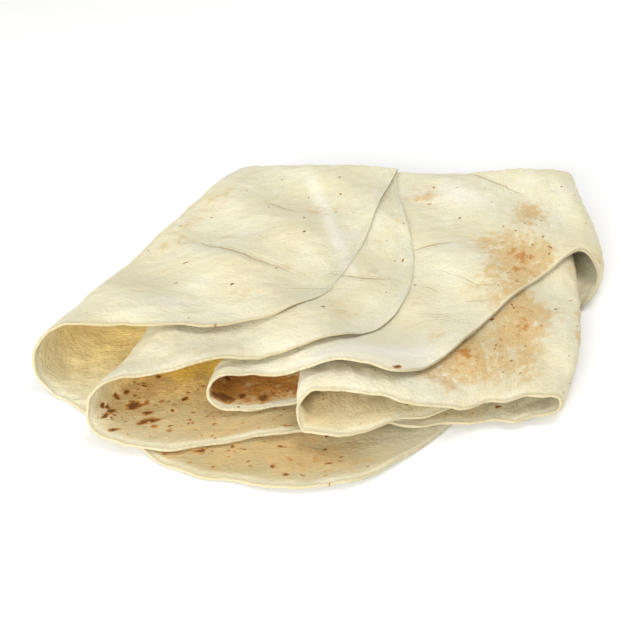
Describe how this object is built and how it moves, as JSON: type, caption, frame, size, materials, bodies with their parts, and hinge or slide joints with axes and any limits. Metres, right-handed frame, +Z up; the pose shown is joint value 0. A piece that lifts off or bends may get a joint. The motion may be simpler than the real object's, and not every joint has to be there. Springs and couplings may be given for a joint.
{
  "type": "lavash flatbread",
  "caption": "Large thin lavash flatbread folded in half along its length and then over crosswise into a soft packet, its nested bends open at the front.",
  "frame": {"origin": "bottom centre of the bounding box, on the surface the bread lies on", "axes": "+X to the right along the front rims, +Y from the open front to the lengthwise fold at the back, +Z up"},
  "size_m": [0.3244, 0.3028, 0.0389],
  "materials": {
    "crumb": "matte baked dough, cream with toasted brown spots"
  },
  "bodies": {
    "root": {"lavash": "crumb"}
  },
  "joints": []
}
